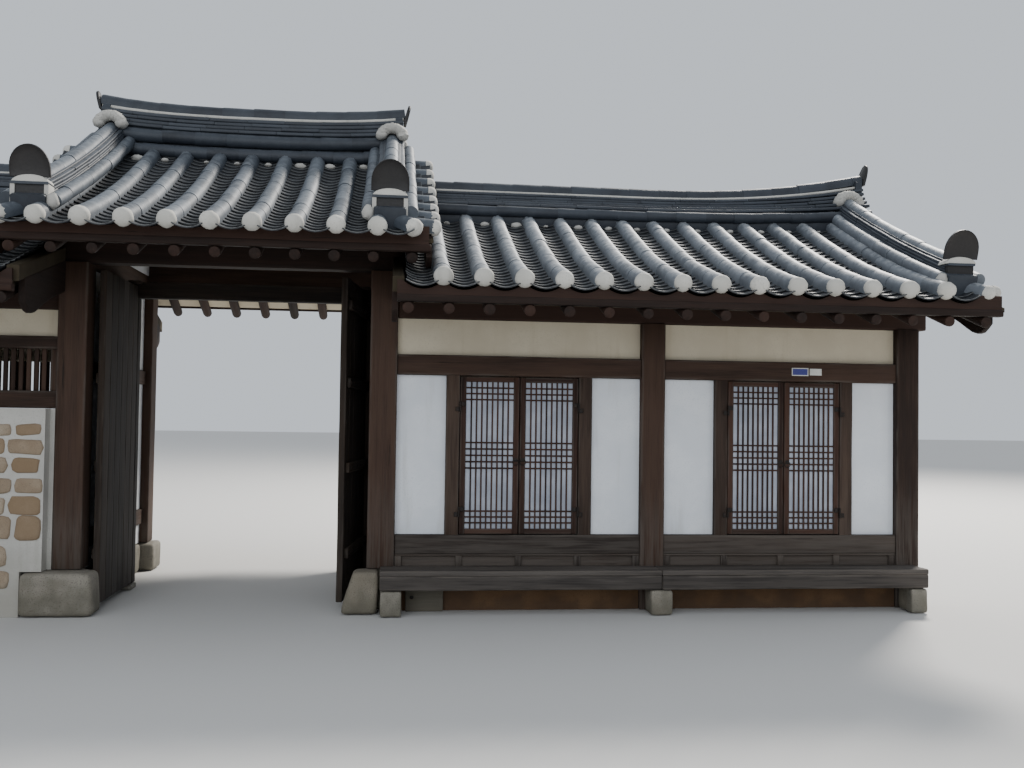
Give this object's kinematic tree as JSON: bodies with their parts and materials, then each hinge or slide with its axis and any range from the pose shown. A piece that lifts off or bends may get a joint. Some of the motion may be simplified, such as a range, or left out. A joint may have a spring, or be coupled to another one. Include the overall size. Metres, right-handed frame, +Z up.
{
  "type": "hanok gate building",
  "caption": "Korean timber gate building with lattice-door rooms in one wing, a stone-walled store in the other, and curved tiled roofs.",
  "frame": {"origin": "on the ground under the middle of the gate, half way between the front and rear walls", "axes": "+X along the building from the store towards the lattice-door rooms, +Y from the courtyard to the outside, +Z up"},
  "size_m": [12.84, 5.08, 4.805],
  "materials": {
    "timber": "aged dark brown",
    "door_timber": "aged reddish brown",
    "grey_timber": "weathered grey",
    "white_plaster": "lime plaster",
    "cream_plaster": "lime plaster",
    "clay": "clay daub",
    "granite": "rough dressed",
    "stone_wall": "fieldstone in lime mortar",
    "roof_tile": "matt fired clay"
  },
  "bodies": {
    "root": {"gate_front_post_left": "timber", "gate_front_post_right": "timber", "gate_side_frame_left": "timber", "gate_side_frame_right": "timber", "gate_bargeboard_left": "timber", "gate_bargeboard_right": "timber", "gate_front_beam": "timber", "gate_back_frame": "timber", "right_front_post_middle": "timber", "right_front_post_end": "timber", "right_front_plate": "timber", "door_frame_1": "timber", "door_frame_2": "timber", "right_back_frame": "timber", "right_bargeboard": "timber", "left_front_frame": "timber", "left_back_frame": "timber", "left_bargeboard": "timber", "gate_door_frame": "door_timber", "bench": "grey_timber", "hearth_cover": "grey_timber", "gate_side_wall_left": "white_plaster", "gate_side_wall_right": "white_plaster", "plaster_by_gate": "white_plaster", "plaster_between_doors": "white_plaster", "plaster_at_end": "white_plaster", "right_back_wall": "white_plaster", "right_end_wall": "white_plaster", "plaster_over_doors": "cream_plaster", "left_front_plaster": "cream_plaster", "left_back_plaster": "cream_plaster", "left_end_plaster": "cream_plaster", "right_floor": "clay", "gate_front_stone_left": "granite", "gate_front_stone_right": "granite", "gate_footing_left": "granite", "gate_footing_right": "granite", "bench_leg_left": "granite", "bench_leg_middle": "granite", "bench_leg_right": "granite", "left_front_stone_wall": "stone_wall", "left_back_stone_wall": "stone_wall", "left_end_stone_wall": "stone_wall", "gate_roof": "roof_tile", "gate_ridge": "roof_tile", "right_roof": "roof_tile", "right_ridge": "roof_tile", "left_roof": "roof_tile", "left_ridge": "roof_tile"},
    "gate_leaf_left": {"gate_leaf_left": "door_timber"},
    "gate_leaf_right": {"gate_leaf_right": "door_timber"},
    "room_door_1_left": {"room_door_1_left": "door_timber"},
    "room_door_1_right": {"room_door_1_right": "door_timber"},
    "room_door_2_left": {"room_door_2_left": "door_timber"},
    "room_door_2_right": {"room_door_2_right": "door_timber"}
  },
  "joints": [
    {"name": "gate_leaf_left_pivot", "type": "hinge", "parent": "root", "child": "gate_leaf_left", "pos_m": [-1.09, -0.11, 1.48], "axis": [0, 0, 1], "range_deg": [0, 90]},
    {"name": "gate_leaf_right_pivot", "type": "hinge", "parent": "root", "child": "gate_leaf_right", "pos_m": [1.09, -0.11, 1.48], "axis": [0, 0, -1], "range_deg": [-7.5, 82.5]},
    {"name": "room_door_1_left_hinge", "type": "hinge", "parent": "root", "child": "room_door_1_left", "pos_m": [1.973, -1.304, 1.355], "axis": [0, 0, -1], "range_deg": [0, 90]},
    {"name": "room_door_1_right_hinge", "type": "hinge", "parent": "root", "child": "room_door_1_right", "pos_m": [3.027, -1.304, 1.355], "axis": [0, 0, 1], "range_deg": [0, 90]},
    {"name": "room_door_2_left_hinge", "type": "hinge", "parent": "root", "child": "room_door_2_left", "pos_m": [4.398, -1.304, 1.355], "axis": [0, 0, -1], "range_deg": [0, 90]},
    {"name": "room_door_2_right_hinge", "type": "hinge", "parent": "root", "child": "room_door_2_right", "pos_m": [5.452, -1.304, 1.355], "axis": [0, 0, 1], "range_deg": [0, 90]}
  ]
}
